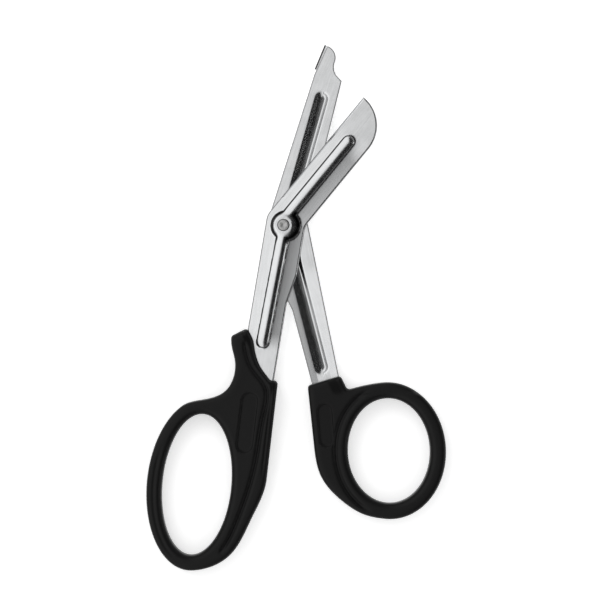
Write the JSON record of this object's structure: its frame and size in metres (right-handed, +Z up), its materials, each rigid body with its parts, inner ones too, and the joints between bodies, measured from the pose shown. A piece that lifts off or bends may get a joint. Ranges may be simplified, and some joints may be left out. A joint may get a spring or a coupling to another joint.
{
  "type": "bandage scissors",
  "caption": "Bandage scissors: two angled, ribbed steel blades on one rivet, a blunt folded probe tip, and moulded black finger loops.",
  "frame": {"origin": "middle of the footprint, on the surface that the scissors lie on", "axes": "+Y from the finger loops towards the blade tips, +Z up out of the face that shows the front blade, +X towards the thumb loop"},
  "size_m": [0.1076, 0.189, 0.0094],
  "materials": {
    "blade_steel": "pressed stainless sheet, tumbled and polished bright",
    "rivet_steel": "peened head, satin",
    "grip_plastic": "moulded black ABS, low sheen"
  },
  "bodies": {
    "rear_half": {"rear_blade": "blade_steel", "rear_handle": "grip_plastic", "pivot_rivet": "rivet_steel"},
    "front_half": {"front_blade": "blade_steel", "front_handle": "grip_plastic"}
  },
  "joints": [
    {"name": "pivot", "type": "hinge", "parent": "rear_half", "child": "front_half", "pos_m": [-0.0046, 0.02961, 0.0047], "axis": [0, 0, 1], "range_deg": [-80, 10.4]}
  ]
}
